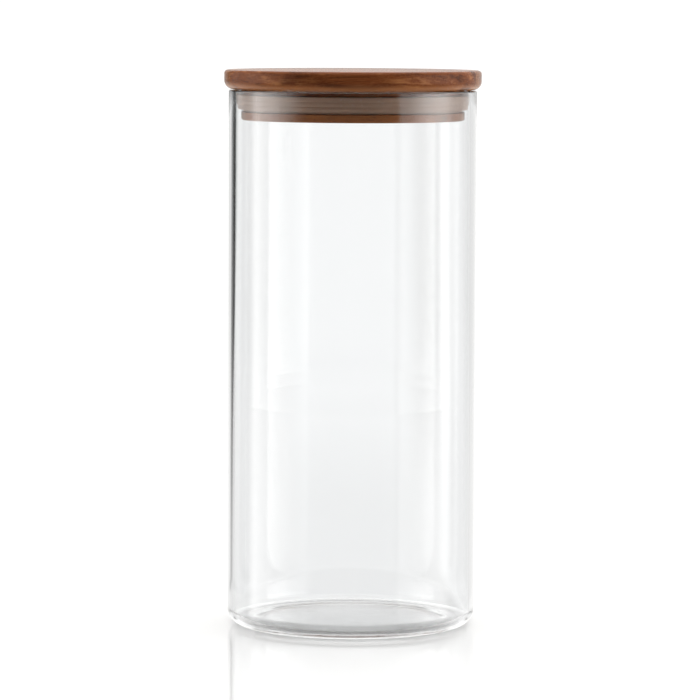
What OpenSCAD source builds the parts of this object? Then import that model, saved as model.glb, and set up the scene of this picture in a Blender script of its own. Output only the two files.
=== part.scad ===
// Lidded glass canister: a straight glass jar with a round wooden lid that lifts off.
// The lid is three staves, glued edge to edge and then turned, each with its share of cap and plug.
// A silicone ring lies in a groove round the plug, and its lips meet the mouth of the jar.
// Everything is in millimetres and +Z is up. The origin is the centre of the jar's standing ring.

/* [Glass jar] */
// Outside diameter of the glass
glass_d = 100; // [70:1:140]
// Height of the glass, from the standing ring to the top of the rim
glass_h = 216.1; // [80:0.1:320]
// Thickness of the wall at the mouth
mouth_wall_t = 2.8; // [1.8:0.1:5]
// Radius of the rim's two fire-polished edges
rim_edge_r = 0.7; // [0.3:0.1:0.8]
// Thickness of the wall just above the heel
wall_t = 2.2; // [1.6:0.1:5]
// Thickness of the base at its centre
base_t = 2.2; // [1.8:0.1:8]
// Radius of the heel outside, where the wall turns into the base
heel_r = 6.2; // [4.5:0.1:12]
// Radius of the heel inside
inner_heel_r = 4; // [2:0.1:8]
// Width of the flat ring that the jar stands on
standing_ring_w = 4; // [2:0.5:8]
// Depth of the shallow recess under the base
punt_h = 0.5; // [0.3:0.1:2]
// Width of the slope from the standing ring up to the recess
punt_slope_w = 5; // [2:0.5:8]

/* [Wooden lid] */
// How far the cap stands out past the glass
cap_overhang = 1.8; // [0:0.1:6]
// Thickness of the cap
cap_t = 7.8; // [6.5:0.1:15]
// Radius of the cap's upper edge
cap_top_edge_r = 1.5; // [0.5:0.1:2.5]
// Radius of the cap's lower edge
cap_bottom_edge_r = 3.6; // [1:0.1:4]
// Gap all round between the plug and the mouth
plug_gap = 2.2; // [1:0.1:4]
// Height of the plug above the seal's groove
neck_h = 2.2; // [1:0.1:8]
// Height of the plug below the seal's groove
flange_h = 3.2; // [2:0.1:10]
// Radius of the plug's lower edge
flange_edge_r = 0.8; // [0.3:0.1:1.5]
// Width of the middle stave; the outer two take the rest of the lid
middle_stave_w = 34.5; // [20:0.5:50]

/* [Silicone seal] */
// Height of the ring
seal_h = 6.7; // [5:0.1:10]
// Height of the ring's foot, below its lips
seal_foot_h = 1.1; // [0.5:0.1:2]
// How far the foot lies inside the plug's edge
seal_foot_inset = 0.9; // [0.3:0.1:1.2]
// How deep the ring's groove is cut into the plug
groove_depth = 2.5; // [1.5:0.1:6]
// Radius of the lips' rounded faces
lip_round_r = 4; // [2:0.1:8]
// How much further in the lowest lip is than the highest
lip_taper = 0.7; // [0:0.1:1.4]

/* [Clearances] */
// Between the cap and the rim under it
seat_gap = 0.2; // [0.1:0.05:0.5]
// Between the ring and each face of its groove
groove_fit = 0.1; // [0.05:0.05:0.3]
// Between the highest lip and the glass
lip_gap = 0.15; // [0.05:0.05:0.5]
// Straight stretch of the mouth below the plug
mouth_run_out = 6; // [2:1:20]

/* [Hidden] */
$fn = 144;
// Steps in a quarter turn of a rounded edge
arc_steps = 12;
// Lips on the seal
lip_count = 3;

// Heights, from the standing ring up
floor_z = punt_h + base_t;
cap_z = glass_h + seat_gap;
lid_top_z = cap_z + cap_t;
groove_top_z = cap_z - neck_h;
groove_bottom_z = groove_top_z - seal_h - 2 * groove_fit;
plug_bottom_z = groove_bottom_z - flange_h;
mouth_bottom_z = plug_bottom_z - mouth_run_out;
seal_bottom_z = groove_bottom_z + groove_fit;
lip_pitch = (seal_h - seal_foot_h) / lip_count;

// Radii, from the inside of each piece out
glass_r = glass_d / 2;
mouth_r = glass_r - mouth_wall_t;
body_r = glass_r - wall_t;
standing_ring_r = glass_r - heel_r;
punt_edge_r = standing_ring_r - standing_ring_w;
cap_r = glass_r + cap_overhang;
plug_r = mouth_r - plug_gap;
groove_r = plug_r - groove_depth;
seal_inner_r = groove_r + groove_fit;
seal_foot_r = plug_r - seal_foot_inset;
top_lip_r = mouth_r - lip_gap;

// Points along a round edge, from angle a0 to a1
function arc(centre, r, a0, a1) =
    let (steps = ceil(arc_steps * abs(a1 - a0) / 90))
    [for (i = [0 : steps]) centre + r * [cos(a0 + (a1 - a0) * i / steps), sin(a0 + (a1 - a0) * i / steps)]];

// Height of a lip's middle, and how far out it reaches; lip 0 is the lowest and the ring curves in towards it
function lip_z(i) = seal_bottom_z + seal_foot_h + lip_pitch * (i + 0.5);
function lip_reach(i) = top_lip_r - lip_taper * pow((lip_count - 1 - i) / (lip_count - 1), 2);

// The rounded face of a lip, from its lower edge to its upper edge
function lip(i) =
    let (half_turn = asin(lip_pitch / 2 / lip_round_r))
    arc([lip_reach(i) - lip_round_r, lip_z(i)], lip_round_r, -half_turn, half_turn);

// One glass wall from the recess under the base, round the heel and the rim, and down to the floor
module glass_jar() {
    color([0.86, 0.93, 0.95, 0.35])
    rotate_extrude()
    polygon(concat(
        [[0, punt_h], [punt_edge_r - punt_slope_w, punt_h], [punt_edge_r, 0]],
        arc([glass_r - heel_r, heel_r], heel_r, -90, 0),
        arc([glass_r - rim_edge_r, glass_h - rim_edge_r], rim_edge_r, 0, 90),
        arc([mouth_r + rim_edge_r, glass_h - rim_edge_r], rim_edge_r, 90, 180),
        [[mouth_r, mouth_bottom_z]],
        arc([body_r - inner_heel_r, floor_z + inner_heel_r], inner_heel_r, 0, -90),
        [[0, floor_z]]
    ));
}

// Ring with shallow rounded lips above a narrower foot, which leaves a gap over the flange
module silicone_seal() {
    color([0.78, 0.76, 0.73])
    rotate_extrude()
    polygon(concat(
        [[seal_inner_r, seal_bottom_z], [seal_foot_r, seal_bottom_z],
         [seal_foot_r, seal_bottom_z + seal_foot_h]],
        [for (i = [0 : lip_count - 1]) each lip(i)],
        [[seal_inner_r, seal_bottom_z + seal_h]]
    ));
}

// The whole turned lid: plug with its groove, and cap with rounded edges
module turned_lid() {
    rotate_extrude()
    polygon(concat(
        [[0, plug_bottom_z]],
        arc([plug_r - flange_edge_r, plug_bottom_z + flange_edge_r], flange_edge_r, -90, 0),
        [[plug_r, groove_bottom_z], [groove_r, groove_bottom_z],
         [groove_r, groove_top_z], [plug_r, groove_top_z], [plug_r, cap_z]],
        arc([cap_r - cap_bottom_edge_r, cap_z + cap_bottom_edge_r], cap_bottom_edge_r, -90, 0),
        arc([cap_r - cap_top_edge_r, lid_top_z - cap_top_edge_r], cap_top_edge_r, 0, 90),
        [[0, lid_top_z]]
    ));
}

// The part of the lid that lies between two glue lines, from y0 to y1
module stave(y0, y1) {
    intersection() {
        turned_lid();
        translate([-glass_d, y0, 0])
        cube([2 * glass_d, y1 - y0, 2 * lid_top_z]);
    }
}

module front_stave() {
    color([0.44, 0.26, 0.16])
    stave(-glass_d, -middle_stave_w / 2);
}

module middle_stave() {
    color([0.53, 0.33, 0.21])
    stave(-middle_stave_w / 2, middle_stave_w / 2);
}

module rear_stave() {
    color([0.39, 0.22, 0.13])
    stave(middle_stave_w / 2, glass_d);
}

glass_jar();
silicone_seal();
front_stave();
middle_stave();
rear_stave();
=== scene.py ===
"""Lidded glass canister: glass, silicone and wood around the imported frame, in metres."""
import math

import bmesh
import bpy
from mathutils import Euler, Matrix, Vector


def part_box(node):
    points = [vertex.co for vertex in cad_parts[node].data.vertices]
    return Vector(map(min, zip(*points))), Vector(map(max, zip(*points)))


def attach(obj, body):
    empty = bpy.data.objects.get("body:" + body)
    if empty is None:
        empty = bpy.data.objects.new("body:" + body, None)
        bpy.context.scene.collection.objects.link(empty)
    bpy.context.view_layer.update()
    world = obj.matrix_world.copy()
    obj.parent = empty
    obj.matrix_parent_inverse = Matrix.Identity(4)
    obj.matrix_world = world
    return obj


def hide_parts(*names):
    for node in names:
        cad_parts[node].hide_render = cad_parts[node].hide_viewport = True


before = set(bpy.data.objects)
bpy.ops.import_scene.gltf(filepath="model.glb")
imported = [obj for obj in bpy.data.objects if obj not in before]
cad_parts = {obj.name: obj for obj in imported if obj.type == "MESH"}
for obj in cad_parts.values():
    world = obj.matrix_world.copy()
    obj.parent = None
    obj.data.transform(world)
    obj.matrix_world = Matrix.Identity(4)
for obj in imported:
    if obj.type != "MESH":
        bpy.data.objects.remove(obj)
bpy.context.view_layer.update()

MM = 0.001

# ---- sizes that follow the frame ----
jar_lo, jar_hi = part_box("glass_jar")
seal_lo, seal_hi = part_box("silicone_seal")
stave_lo, stave_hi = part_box("middle_stave")
GLASS_R = (jar_hi[0] - jar_lo[0]) / 2
GLASS_H = jar_hi[2]
CAP_R = (stave_hi[0] - stave_lo[0]) / 2
LID_TOP = stave_hi[2]
PLUG_BOTTOM = stave_lo[2]
HALF_STAVE = (stave_hi[1] - stave_lo[1]) / 2

# ---- sizes of the design, as in the CAD model ----
MOUTH_WALL = 2.8 * MM
BODY_WALL = 2.2 * MM
RIM_EDGE = 0.7 * MM
PUNT_H = 0.5 * MM
BASE_T = 2.2 * MM
HEEL_R = 6.2 * MM
INNER_HEEL_R = 4 * MM
RING_W = 4 * MM
PUNT_SLOPE = 5 * MM
MOUTH_RUN_OUT = 6 * MM
CAP_T = 7.8 * MM
CAP_TOP_EDGE = 1.5 * MM
CAP_BOTTOM_EDGE = 3.6 * MM
PLUG_GAP = 2.2 * MM
NECK_H = 2.2 * MM
FLANGE_H = 3.2 * MM
FLANGE_EDGE = 0.8 * MM
GROOVE_DEPTH = 2.5 * MM
GROOVE_FIT = 0.1 * MM
LIP_GAP = 0.15 * MM
SEAL_FOOT_H = 1.1 * MM
SEAL_FOOT_INSET = 0.9 * MM
LIP_ROUND_R = 4 * MM
LIP_TAPER = 0.7 * MM
LIPS = 3

MOUTH_R = GLASS_R - MOUTH_WALL
BODY_R = GLASS_R - BODY_WALL
FLOOR_Z = PUNT_H + BASE_T
CAP_Z = LID_TOP - CAP_T
PLUG_R = MOUTH_R - PLUG_GAP
GROOVE_R = PLUG_R - GROOVE_DEPTH

# steps round every turned piece
SEGMENTS = 256
# the round floor that the jar stands on; the small drop keeps its face off the standing ring
FLOOR_R = 1.0
FLOOR_DROP = 0.2 * MM


# ---- mesh helpers ----
def arc(centre, radius, start, end, steps=12):
    """Points along a round edge, from angle start to angle end, in degrees."""
    turn = [math.radians(start + (end - start) * i / steps) for i in range(steps + 1)]
    return [(centre[0] + radius * math.cos(t), centre[1] + radius * math.sin(t)) for t in turn]


def lathe(name, outline, closed=False):
    """Turns an outline of (radius, height) points about Z. A point at radius 0 becomes one vertex."""
    mesh = bpy.data.meshes.new(name)
    bm = bmesh.new()
    rings = []
    for radius, height in outline:
        if radius < 1e-7:
            rings.append([bm.verts.new((0, 0, height))])
        else:
            turn = [2 * math.pi * k / SEGMENTS for k in range(SEGMENTS)]
            rings.append([bm.verts.new((radius * math.cos(t), radius * math.sin(t), height)) for t in turn])
    pairs = list(zip(rings, rings[1:]))
    if closed:
        pairs.append((rings[-1], rings[0]))
    for low, high in pairs:
        for k in range(SEGMENTS):
            nxt = (k + 1) % SEGMENTS
            corners = [low[k % len(low)], low[nxt % len(low)], high[nxt % len(high)], high[k % len(high)]]
            corners = list(dict.fromkeys(corners))
            if len(corners) > 2:
                bm.faces.new(corners)
    bmesh.ops.recalc_face_normals(bm, faces=bm.faces)
    bm.to_mesh(mesh)
    bm.free()
    piece = bpy.data.objects.new(name, mesh)
    bpy.context.collection.objects.link(piece)
    return piece


def smooth(piece, angle):
    """Smooth shading, with the edges sharper than angle kept sharp."""
    mesh = piece.data
    mesh.shade_smooth()
    mesh.set_sharp_from_angle(angle=math.radians(angle))


# ---- node helpers ----
class Nodes:
    """Short calls for building one node tree."""

    def __init__(self, tree):
        self.tree = tree
        tree.nodes.clear()

    def add(self, kind, **values):
        made = self.tree.nodes.new(kind)
        for key, value in values.items():
            setattr(made, key, value)
        return made

    def put(self, socket, value):
        if isinstance(value, bpy.types.NodeSocket):
            self.tree.links.new(value, socket)
        else:
            socket.default_value = value

    def math(self, operation, a, b=0.0, c=0.0):
        made = self.tree.nodes.new("ShaderNodeMath")
        made.operation = operation
        for socket, value in zip(made.inputs, (a, b, c)):
            self.put(socket, value)
        return made.outputs[0]

    def scaled(self, vector, scale, offset=(0, 0, 0), turn=(0, 0, 0)):
        made = self.tree.nodes.new("ShaderNodeMapping")
        self.put(made.inputs["Vector"], vector)
        self.put(made.inputs["Location"], offset)
        self.put(made.inputs["Rotation"], turn)
        self.put(made.inputs["Scale"], scale)
        return made.outputs[0]

    def noise(self, vector, scale, detail=2.0, rough=0.5, distortion=0.0):
        made = self.tree.nodes.new("ShaderNodeTexNoise")
        self.put(made.inputs["Vector"], vector)
        self.put(made.inputs["Scale"], scale)
        self.put(made.inputs["Detail"], detail)
        self.put(made.inputs["Roughness"], rough)
        self.put(made.inputs["Distortion"], distortion)
        return made.outputs["Fac"]

    def span(self, value, low, high, to_low=0.0, to_high=1.0):
        """A smooth step: to_low up to low, then across to to_high at high."""
        made = self.tree.nodes.new("ShaderNodeMapRange")
        made.interpolation_type = "SMOOTHSTEP"
        names = ("Value", "From Min", "From Max", "To Min", "To Max")
        for key, number in zip(names, (value, low, high, to_low, to_high)):
            self.put(made.inputs[key], number)
        return made.outputs["Result"]

    def mix(self, factor, a, b):
        made = self.tree.nodes.new("ShaderNodeMix")
        made.data_type = "RGBA"
        self.put(made.inputs["Factor"], factor)
        self.put(made.inputs[6], a)
        self.put(made.inputs[7], b)
        return made.outputs[2]

    def ramp(self, value, stops):
        made = self.tree.nodes.new("ShaderNodeValToRGB")
        self.put(made.inputs["Fac"], value)
        ramp = made.color_ramp
        while len(ramp.elements) < len(stops):
            ramp.elements.new(0.5)
        for element, (place, colour) in zip(ramp.elements, stops):
            element.position = place
            element.color = (*colour, 1)
        return made.outputs["Color"]

    def bump(self, height, distance, strength):
        made = self.tree.nodes.new("ShaderNodeBump")
        self.put(made.inputs["Height"], height)
        made.inputs["Distance"].default_value = distance
        made.inputs["Strength"].default_value = strength
        return made.outputs["Normal"]


def new_material(name):
    material = bpy.data.materials.new(name)
    material.use_nodes = True
    nodes = Nodes(material.node_tree)
    shader = nodes.add("ShaderNodeBsdfPrincipled")
    out = nodes.add("ShaderNodeOutputMaterial")
    material.node_tree.links.new(shader.outputs[0], out.inputs["Surface"])
    place = nodes.add("ShaderNodeTexCoord").outputs["Object"]
    return material, nodes, shader, place


# ---- materials ----
def glass_material():
    """Clear borosilicate glass with the faint upright draw lines of a blown tube."""
    material, nodes, shader, place = new_material("clear_glass")
    shader.inputs["Base Color"].default_value = (0.988, 0.994, 0.996, 1)
    shader.inputs["Transmission Weight"].default_value = 1
    shader.inputs["IOR"].default_value = 1.474
    shader.inputs["Roughness"].default_value = 0
    lines = nodes.noise(nodes.scaled(place, (1, 1, 0.06)), 130, 1.5)
    waves = nodes.noise(nodes.scaled(place, (1, 1, 0.35)), 28, 1)
    height = nodes.math("MULTIPLY_ADD", waves, 2.2, lines)
    nodes.put(shader.inputs["Normal"], nodes.bump(height, 0.00002, 0.5))
    return material


def silicone_material():
    """Milky silicone: lets some light into it, with a fine moulded matt surface and a little dust."""
    material, nodes, shader, place = new_material("milky_silicone")
    cloud = nodes.noise(place, 60, 3)
    speck = nodes.noise(place, 1400, 2)
    tone = nodes.ramp(cloud, [(0.3, (0.37, 0.236, 0.166)), (0.7, (0.44, 0.292, 0.214))])
    dust = nodes.span(speck, 0.62, 0.75, 0, 0.25)
    nodes.put(shader.inputs["Base Color"], nodes.mix(dust, tone, (0.62, 0.60, 0.57, 1)))
    shader.inputs["Subsurface Weight"].default_value = 0.75
    shader.inputs["Subsurface Radius"].default_value = (1.0, 0.9, 0.8)
    shader.inputs["Subsurface Scale"].default_value = 0.0022
    shader.inputs["IOR"].default_value = 1.41
    nodes.put(shader.inputs["Roughness"], nodes.span(cloud, 0.3, 0.7, 0.36, 0.5))
    nodes.put(shader.inputs["Normal"], nodes.bump(speck, 0.00001, 0.6))
    return material


def wood_material(name, shift, turn, dark, mid, light, figure):
    """Oiled hardwood with its grain along X. shift and turn place the board in the log."""
    material, nodes, shader, place = new_material(name)
    board = nodes.scaled(place, (1, 1, 1), shift, turn)

    # the grain sways a little along the board
    sway = nodes.math("SUBTRACT", nodes.noise(nodes.scaled(board, (0.10, 1, 1)), 22, 2), 0.5)
    offset = nodes.add("ShaderNodeCombineXYZ")
    nodes.put(offset.inputs["Y"], nodes.math("MULTIPLY", sway, figure))
    nodes.put(offset.inputs["Z"], nodes.math("MULTIPLY", sway, figure * 0.6))
    swayed = nodes.add("ShaderNodeVectorMath", operation="ADD")
    nodes.put(swayed.inputs[0], board)
    nodes.put(swayed.inputs[1], offset.outputs[0])
    bent = swayed.outputs[0]

    # growth layers: broad bands, then fine lines
    bands = nodes.noise(nodes.scaled(bent, (0.035, 0.5, 1.5)), 150, 3, 0.55)
    lines = nodes.noise(nodes.scaled(bent, (0.02, 0.45, 1.5)), 720, 3, 0.6)
    fibre = nodes.noise(nodes.scaled(bent, (0.03, 1, 1)), 3200, 2, 0.6)
    layer = nodes.math("MULTIPLY_ADD", lines, 0.45, nodes.math("MULTIPLY", bands, 0.55))
    tone = nodes.ramp(layer, [(0.38, dark), (0.47, mid), (0.53, mid), (0.63, light)])
    tone = nodes.mix(nodes.span(fibre, 0.35, 0.65, 0.0, 0.24), tone, (*light, 1))

    # painted light: the foot of the cap and the flange of the plug are painted paler, standing in for light
    # that comes up from the floor below
    parts = nodes.add("ShaderNodeSeparateXYZ")
    nodes.put(parts.inputs[0], place)
    rise = nodes.math("MULTIPLY_ADD", sway, 2 * MM, parts.outputs[2])
    # painted light from below on the rounded foot of the cap
    cap_foot_painted_light = nodes.span(rise, CAP_Z + 1.2 * MM, CAP_Z + 3.0 * MM, 0.75, 0)
    cap_foot_painted_light = nodes.math("MULTIPLY", nodes.span(rise, CAP_Z - 1 * MM, CAP_Z), cap_foot_painted_light)
    flange_top = PLUG_BOTTOM + FLANGE_H
    # painted light from below on the flange and the foot of the groove above it
    flange_painted_light = nodes.span(rise, flange_top, flange_top + 1.3 * MM, 0.6, 0)
    tone = nodes.mix(nodes.math("ADD", cap_foot_painted_light, flange_painted_light), tone, (*light, 1))

    # pores: short dark dashes along the grain, dots on the end grain
    pores = nodes.add("ShaderNodeTexVoronoi", feature="F1")
    nodes.put(pores.inputs["Vector"], nodes.scaled(bent, (0.06, 1, 1)))
    nodes.put(pores.inputs["Scale"], 1150)
    pore = nodes.span(pores.outputs["Distance"], 0.10, 0.30, 1, 0)
    sparse = nodes.span(nodes.noise(nodes.scaled(board, (0.15, 1, 1)), 260, 1), 0.42, 0.6)
    pore = nodes.math("MULTIPLY", pore, sparse)
    in_pore = (dark[0] * 0.35, dark[1] * 0.3, dark[2] * 0.3, 1)
    tone = nodes.mix(nodes.math("MULTIPLY", pore, 0.4), tone, in_pore)

    # broad mineral streaks
    streak = nodes.noise(nodes.scaled(board, (0.05, 1, 1)), 75, 2, 0.5, 0.3)
    streak = nodes.span(streak, 0.60, 0.70, 0, 0.55)
    tone = nodes.mix(streak, tone, (dark[0] * 0.6, dark[1] * 0.5, dark[2] * 0.5, 1))

    nodes.put(shader.inputs["Base Color"], tone)
    shader.inputs["IOR"].default_value = 1.45
    shader.inputs["Specular IOR Level"].default_value = 0.1
    shine = nodes.math("MULTIPLY_ADD", fibre, 0.12, 0.2)
    nodes.put(shader.inputs["Roughness"], nodes.math("MULTIPLY_ADD", pore, 0.25, shine))
    relief = nodes.math("MULTIPLY_ADD", fibre, 0.3, lines)
    relief = nodes.math("SUBTRACT", relief, nodes.math("MULTIPLY", pore, 1.4))
    nodes.put(shader.inputs["Normal"], nodes.bump(relief, 0.00006, 0.45))
    return material


# ---- the jar ----
def make_jar():
    ring_r = GLASS_R - HEEL_R
    punt_r = ring_r - RING_W
    mouth_bottom = PLUG_BOTTOM - MOUTH_RUN_OUT
    outline = [(0, PUNT_H), (punt_r - PUNT_SLOPE * 1.6, PUNT_H)]
    # the slope down to the standing ring is eased at both ends
    outline += [(punt_r - PUNT_SLOPE * t, PUNT_H * (3 * t * t - 2 * t ** 3)) for t in (0.8, 0.6, 0.4, 0.2)]
    outline += [(punt_r, 0)]
    outline += arc((GLASS_R - HEEL_R, HEEL_R), HEEL_R, -90, 0, 24)
    outline += [(GLASS_R, HEEL_R + (GLASS_H - RIM_EDGE - HEEL_R) * k / 24) for k in range(1, 24)]
    outline += arc((GLASS_R - RIM_EDGE, GLASS_H - RIM_EDGE), RIM_EDGE, 0, 90, 12)
    outline += arc((MOUTH_R + RIM_EDGE, GLASS_H - RIM_EDGE), RIM_EDGE, 90, 180, 12)
    outline += [(MOUTH_R, mouth_bottom)]
    low = FLOOR_Z + INNER_HEEL_R
    for k in range(1, 24):
        t = k / 24
        outline.append((MOUTH_R + (BODY_R - MOUTH_R) * t, mouth_bottom + (low - mouth_bottom) * t))
    outline += arc((BODY_R - INNER_HEEL_R, low), INNER_HEEL_R, 0, -90, 24)
    outline += [(BODY_R - INNER_HEEL_R - 8 * MM, FLOOR_Z), (0, FLOOR_Z)]
    jar = lathe("jar_glass", outline)
    smooth(jar, 60)
    jar.data.materials.append(glass_material())
    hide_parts("glass_jar")
    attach(jar, "jar")


# ---- the seal ----
def make_seal():
    low, high = seal_lo[2], seal_hi[2]
    inner = GROOVE_R + GROOVE_FIT
    pitch = (high - low - SEAL_FOOT_H) / LIPS
    half_turn = math.degrees(math.asin(pitch / 2 / LIP_ROUND_R))
    ease = 0.25 * MM
    outline = arc((inner + ease, low + ease), ease, 180, 270, 4)
    foot_r = PLUG_R - SEAL_FOOT_INSET
    outline += [(foot_r - ease, low), (foot_r, low + ease), (foot_r, low + SEAL_FOOT_H)]
    for k in range(LIPS):
        reach = MOUTH_R - LIP_GAP - LIP_TAPER * ((LIPS - 1 - k) / (LIPS - 1)) ** 2
        middle = low + SEAL_FOOT_H + pitch * (k + 0.5)
        outline += arc((reach - LIP_ROUND_R, middle), LIP_ROUND_R, -half_turn, half_turn, 10)
    outline += arc((inner + ease, high - ease), ease, 90, 180, 4)
    seal = lathe("seal_ring", outline, closed=True)
    smooth(seal, 70)
    seal.data.materials.append(silicone_material())
    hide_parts("silicone_seal")
    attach(seal, "seal")


# ---- the lid ----
def lid_outline():
    groove_top = CAP_Z - NECK_H
    groove_bottom = PLUG_BOTTOM + FLANGE_H
    ease = 0.3 * MM
    outline = [(0, PLUG_BOTTOM), (PLUG_R * 0.5, PLUG_BOTTOM)]
    outline += arc((PLUG_R - FLANGE_EDGE, PLUG_BOTTOM + FLANGE_EDGE), FLANGE_EDGE, -90, 0, 10)
    outline += arc((PLUG_R - ease, groove_bottom - ease), ease, 0, 90, 5)
    outline += [(GROOVE_R, groove_bottom), (GROOVE_R, groove_top)]
    outline += arc((PLUG_R - ease, groove_top + ease), ease, -90, 0, 5)
    outline += [(PLUG_R, CAP_Z)]
    outline += arc((CAP_R - CAP_BOTTOM_EDGE, CAP_Z + CAP_BOTTOM_EDGE), CAP_BOTTOM_EDGE, -90, 0, 16)
    outline += arc((CAP_R - CAP_TOP_EDGE, LID_TOP - CAP_TOP_EDGE), CAP_TOP_EDGE, 0, 90, 12)
    outline += [(CAP_R * 0.5, LID_TOP), (0, LID_TOP)]
    return outline


def cut(piece, plane_y, keep_above):
    """Cuts a piece at the plane y = plane_y, keeps one side and closes the cut."""
    bm = bmesh.new()
    bm.from_mesh(piece.data)
    everything = [*bm.verts, *bm.edges, *bm.faces]
    made = bmesh.ops.bisect_plane(
        bm, geom=everything, dist=1e-7, plane_co=(0, plane_y, 0), plane_no=(0, 1, 0),
        clear_inner=keep_above, clear_outer=not keep_above)
    edges = [e for e in made["geom_cut"] if isinstance(e, bmesh.types.BMEdge)]
    bmesh.ops.triangle_fill(bm, use_beauty=True, use_dissolve=False, edges=edges)
    bmesh.ops.recalc_face_normals(bm, faces=bm.faces)
    bm.to_mesh(piece.data)
    bm.free()


def make_stave(name, node, low, high, material):
    stave = lathe(name, lid_outline())
    if low is not None:
        cut(stave, low, True)
    if high is not None:
        cut(stave, high, False)
    smooth(stave, 35)
    stave.data.materials.append(material)
    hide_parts(node)
    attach(stave, "lid")


def make_lid():
    front = wood_material("wood_front", (0.31, 0.12, 0.045), (0.12, 0.004, 0.015),
                          (0.060, 0.0132, 0.0040), (0.178, 0.0475, 0.0142), (0.39, 0.152, 0.055), 0.012)
    middle = wood_material("wood_middle", (-0.22, 0.43, 0.21), (-0.1, 0.003, -0.02),
                           (0.085, 0.024, 0.0075), (0.205, 0.072, 0.024), (0.38, 0.165, 0.062), 0.016)
    rear = wood_material("wood_rear", (0.57, -0.36, 0.11), (0.75, -0.004, 0.01),
                         (0.050, 0.012, 0.0035), (0.130, 0.038, 0.0110), (0.26, 0.098, 0.033), 0.010)
    make_stave("stave_front", "front_stave", None, -HALF_STAVE, front)
    make_stave("stave_middle", "middle_stave", -HALF_STAVE, HALF_STAVE, middle)
    make_stave("stave_rear", "rear_stave", HALF_STAVE, None, rear)


# ---- floor, light and camera ----
def make_floor():
    mesh = bpy.data.meshes.new("floor")
    bm = bmesh.new()
    bmesh.ops.create_circle(bm, cap_ends=True, segments=96, radius=FLOOR_R)
    bm.to_mesh(mesh)
    bm.free()
    floor = bpy.data.objects.new("floor", mesh)
    bpy.context.collection.objects.link(floor)
    material, nodes, shader, place = new_material("pale_floor")
    shader.inputs["Base Color"].default_value = (0.78, 0.78, 0.78, 1)
    shader.inputs["Emission Color"].default_value = (1, 1, 1, 1)
    shader.inputs["Emission Strength"].default_value = 0.08
    shader.inputs["Roughness"].default_value = 0.05
    shader.inputs["IOR"].default_value = 1.45
    mesh.materials.append(material)
    floor.location.z = -FLOOR_DROP
    floor.visible_diffuse = False
    floor.visible_glossy = False


def make_sweep():
    """A curved screen behind the jar, with a foot along the floor, that is only seen through the glass.

    It is white behind, greyer to the sides, and black far to the left, where it draws the dark line down
    the wall of the jar.
    """
    near, radius, height, steps = 0.052, 0.16, 0.6, 48
    mesh = bpy.data.meshes.new("sweep")
    bm = bmesh.new()
    rows = []
    for k in range(steps + 1):
        turn = math.radians(-75 + 150 * k / steps)
        profile = [(near, 0.0005), (radius, 0.0005), (radius, height)]
        rows.append([bm.verts.new((r * math.sin(turn), r * math.cos(turn), h)) for r, h in profile])
    for one, two in zip(rows, rows[1:]):
        for k in (0, 1):
            bm.faces.new((one[k], two[k], two[k + 1], one[k + 1]))
    bm.to_mesh(mesh)
    bm.free()
    sweep = bpy.data.objects.new("sweep", mesh)
    bpy.context.collection.objects.link(sweep)
    material = bpy.data.materials.new("screen")
    material.use_nodes = True
    nodes = Nodes(material.node_tree)
    place = nodes.add("ShaderNodeTexCoord").outputs["Object"]
    parts = nodes.add("ShaderNodeSeparateXYZ")
    nodes.put(parts.inputs[0], place)
    bearing = nodes.math("DEGREES", nodes.math("ARCTAN2", parts.outputs[0], parts.outputs[1]))
    up = parts.outputs[2]
    # the flanks run straight on along the foot
    across = nodes.math("DEGREES", nodes.math("ARCSINE", nodes.math("DIVIDE", parts.outputs[0], radius)))
    left = nodes.span(across, -28, -20, 0.30, 0.40)
    left = nodes.math("MULTIPLY", nodes.span(across, -14, -7.5, 1, 0), left)
    right = nodes.math("ADD", nodes.span(across, 7, 9, 0, 0.13), nodes.span(across, 9, 14, 0, 0.44))
    right = nodes.math("MULTIPLY", right, nodes.span(across, 16, 19, 1, 0.28))
    right = nodes.math("ADD", right, nodes.span(across, 26, 31, 0, 0.24))
    sides = nodes.math("MULTIPLY", nodes.math("ADD", left, right), nodes.span(up, 0.02, 0.12, 0.45, 1))
    level = nodes.math("SUBTRACT", 1.09, nodes.math("ADD", sides, nodes.span(up, 0.02, 0.11, 0.15, 0)))
    # low down, the black lies a little nearer the middle and is narrower
    turned = nodes.math("SUBTRACT", bearing, nodes.span(up, 0.05, 0.18, 3, 0))
    end = nodes.math("SUBTRACT", turned, nodes.span(up, 0.05, 0.18, -48, -56))
    strip = nodes.math("MULTIPLY", nodes.span(turned, -46, -36.5, 1, 0), nodes.span(end, -3, 1))
    strip = nodes.math("MULTIPLY", strip, nodes.span(up, 0, 0.06, 0.6, 0.98))
    away = nodes.add("ShaderNodeVectorMath", operation="LENGTH")
    nodes.put(away.inputs[0], place)
    strip = nodes.math("MULTIPLY", strip, nodes.span(away.outputs["Value"], 0.1, 0.13))
    level = nodes.math("MULTIPLY", level, nodes.math("SUBTRACT", 1, strip))
    glow = nodes.add("ShaderNodeEmission")
    nodes.put(glow.inputs["Strength"], level)
    out = nodes.add("ShaderNodeOutputMaterial")
    material.node_tree.links.new(glow.outputs[0], out.inputs["Surface"])
    mesh.materials.append(material)
    sweep.visible_camera = False
    sweep.visible_diffuse = False
    sweep.visible_glossy = False
    sweep.visible_shadow = False


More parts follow.
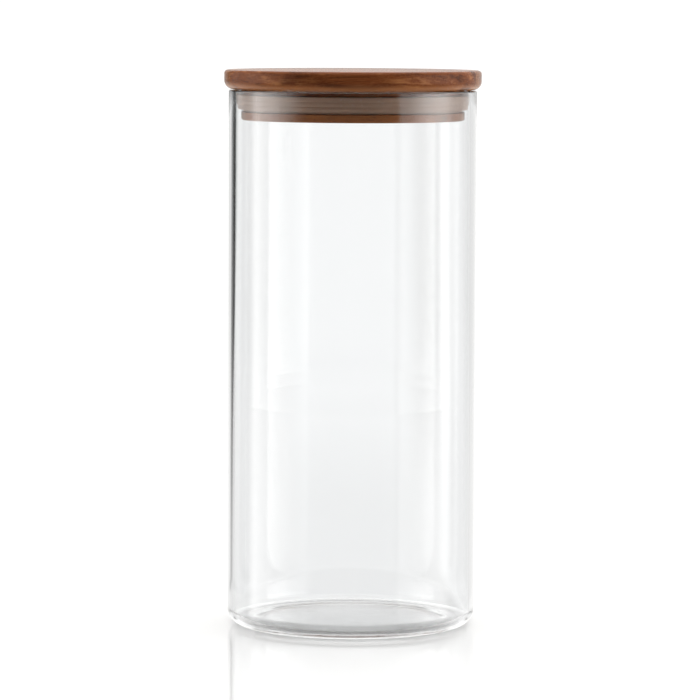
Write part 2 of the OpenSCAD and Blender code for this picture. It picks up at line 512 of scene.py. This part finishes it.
def make_world():
    """A studio as a dome: white behind, a soft box to each side and one above, and dim in front."""
    world = bpy.data.worlds.new("studio")
    bpy.context.scene.world = world
    world.use_nodes = True
    nodes = Nodes(world.node_tree)
    way = nodes.add("ShaderNodeTexCoord").outputs["Generated"]
    parts = nodes.add("ShaderNodeSeparateXYZ")
    nodes.put(parts.inputs[0], way)
    x, y, z = parts.outputs
    back = nodes.span(y, -0.05, 0.40, 0.04, 1.1)
    # 0 is straight in front of the jar, and positive is to the right
    bearing = nodes.math("DEGREES", nodes.math("ARCTAN2", x, nodes.math("MULTIPLY", y, -1.0)))
    # the side boxes start below the horizon and end part of the way up
    level = nodes.math("MULTIPLY", nodes.span(z, -0.35, -0.17), nodes.span(z, 0.40, 0.50, 1, 0))

    def soft_box(*edges):
        """The light between four bearings: it rises over the first two and falls over the last two."""
        low = nodes.span(bearing, *edges[:2])
        high = nodes.span(bearing, *edges[2:], 1, 0)
        return nodes.math("MULTIPLY", nodes.math("MULTIPLY", low, high), level)

    right = nodes.math("ADD", nodes.math("MULTIPLY", soft_box(42, 47, 92, 118), 1.2),
                       nodes.math("MULTIPLY", soft_box(50, 78, 88, 112), 2.45))
    left = nodes.math("MULTIPLY", soft_box(-114, -100, -90, -42), 3.0)
    top = nodes.span(z, 0.6, 0.9, 0, 2.0)
    # a black flag to the left and behind, with a soft outer edge
    flag = nodes.math("ADD", nodes.span(bearing, -177, -166, 0, 0.3), nodes.span(bearing, -158, -151, 0, 0.7))
    flag = nodes.math("MULTIPLY", flag, nodes.span(bearing, -141, -136, 1, 0))
    flag = nodes.math("MULTIPLY", flag, nodes.span(z, -0.13, -0.05, 0.25, 0.97))
    back = nodes.math("MULTIPLY", back, nodes.math("SUBTRACT", 1, flag))
    # light that comes up from the floor
    under = nodes.span(z, -0.45, -0.2, 0.62, 0)
    total = nodes.math("ADD", nodes.math("ADD", back, top), nodes.math("ADD", right, left))
    total = nodes.math("ADD", total, under)
    background = nodes.add("ShaderNodeBackground")
    nodes.put(background.inputs["Color"], (1.0, 0.995, 0.985, 1))
    nodes.put(background.inputs["Strength"], total)
    out = nodes.add("ShaderNodeOutputWorld")
    world.node_tree.links.new(background.outputs[0], out.inputs["Surface"])


def make_camera():
    """Just above the lid, with a long lens, tilted down a little."""
    data = bpy.data.cameras.new("camera")
    data.sensor_width = 36
    data.lens = 206.2
    camera = bpy.data.objects.new("camera", data)
    bpy.context.collection.objects.link(camera)
    side, distance, height = -0.0007, 1.616, 0.2513
    camera.location = (side, -distance, height)
    tilt, roll = math.radians(4.96), math.radians(0.27)
    camera.rotation_mode = "QUATERNION"
    level = Euler((math.pi / 2 - tilt, 0, 0)).to_matrix()
    camera.rotation_quaternion = (level @ Matrix.Rotation(roll, 3, "Z")).to_quaternion()
    bpy.context.scene.camera = camera


make_jar()
make_seal()
make_lid()
make_floor()
make_sweep()
make_world()
make_camera()

scene = bpy.context.scene
scene.view_settings.view_transform = "Standard"
scene.cycles.max_bounces = 64
scene.cycles.transmission_bounces = 64
scene.cycles.glossy_bounces = 64
